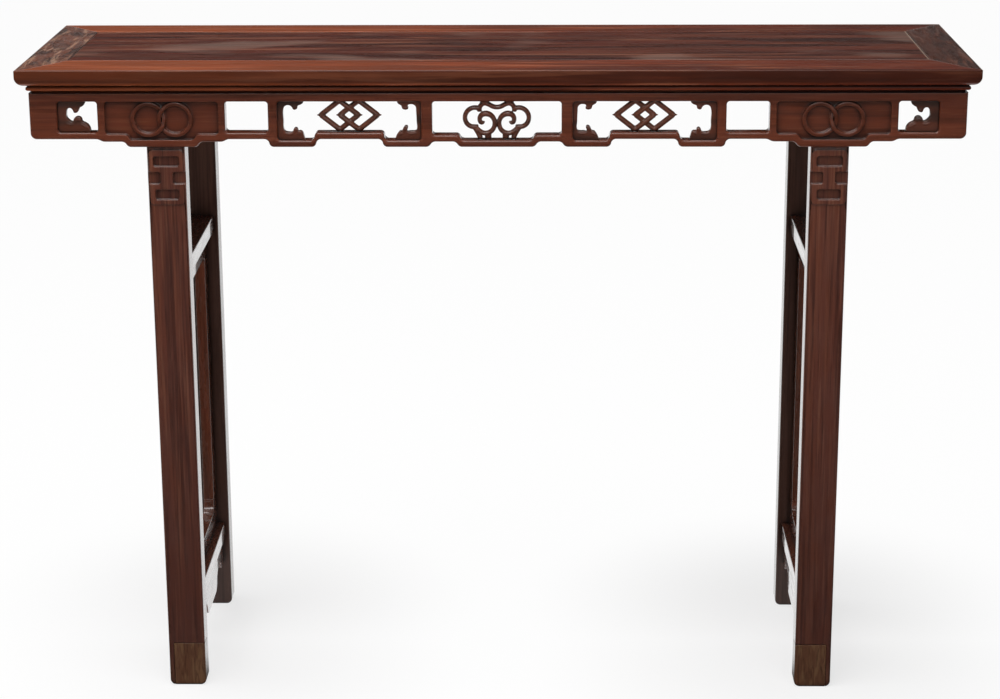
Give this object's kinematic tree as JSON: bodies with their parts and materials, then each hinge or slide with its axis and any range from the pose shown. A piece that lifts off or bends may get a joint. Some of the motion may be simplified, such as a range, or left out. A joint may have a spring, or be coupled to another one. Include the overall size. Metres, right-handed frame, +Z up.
{
  "type": "altar table",
  "caption": "Long, narrow hardwood side table: mitred panel top on recessed legs, openwork carved aprons with lozenges and a cloud, framed side openings.",
  "frame": {"origin": "on the floor under the middle of the top", "axes": "+X along the table to its right end seen from the front, +Y from front to back, +Z up"},
  "size_m": [1.25, 0.37, 0.87],
  "materials": {
    "top_frame": "old reddish-brown lacquer, satin",
    "top_panel": "old reddish-brown lacquer, satin",
    "batten": "old reddish-brown lacquer, satin",
    "leg": "old reddish-brown lacquer, satin",
    "foot_patch": "old reddish-brown lacquer, satin",
    "apron": "old reddish-brown lacquer, satin",
    "insert": "old reddish-brown lacquer, satin",
    "stretcher": "old reddish-brown lacquer, satin",
    "liner": "old reddish-brown lacquer, satin",
    "side_apron": "old reddish-brown lacquer, satin",
    "end_apron": "old reddish-brown lacquer, satin"
  },
  "bodies": {
    "root": {"top_front_rail": "top_frame", "top_back_rail": "top_frame", "top_left_end_rail": "top_frame", "top_right_end_rail": "top_frame", "top_panel": "top_panel", "panel_batten_1": "batten", "panel_batten_2": "batten", "panel_batten_3": "batten", "leg_front_left": "leg", "leg_back_left": "leg", "foot_patch_left": "foot_patch", "upper_stretcher_left": "stretcher", "lower_stretcher_left": "stretcher", "liner_bottom_left": "liner", "liner_top_left": "liner", "liner_front_upright_left": "liner", "liner_back_upright_left": "liner", "carved_side_apron_left": "side_apron", "end_apron_left": "end_apron", "leg_front_right": "leg", "leg_back_right": "leg", "foot_patch_right": "foot_patch", "upper_stretcher_right": "stretcher", "lower_stretcher_right": "stretcher", "liner_bottom_right": "liner", "liner_top_right": "liner", "liner_front_upright_right": "liner", "liner_back_upright_right": "liner", "carved_side_apron_right": "side_apron", "end_apron_right": "end_apron", "apron_front": "apron", "cloud_insert_front": "insert", "lozenge_insert_front_left": "insert", "inner_scroll_front_left": "insert", "outer_scroll_front_left": "insert", "end_scroll_front_left": "insert", "lozenge_insert_front_right": "insert", "inner_scroll_front_right": "insert", "outer_scroll_front_right": "insert", "end_scroll_front_right": "insert", "apron_back": "apron", "cloud_insert_back": "insert", "lozenge_insert_back_left": "insert", "inner_scroll_back_left": "insert", "outer_scroll_back_left": "insert", "end_scroll_back_left": "insert", "lozenge_insert_back_right": "insert", "inner_scroll_back_right": "insert", "outer_scroll_back_right": "insert", "end_scroll_back_right": "insert"}
  },
  "joints": []
}
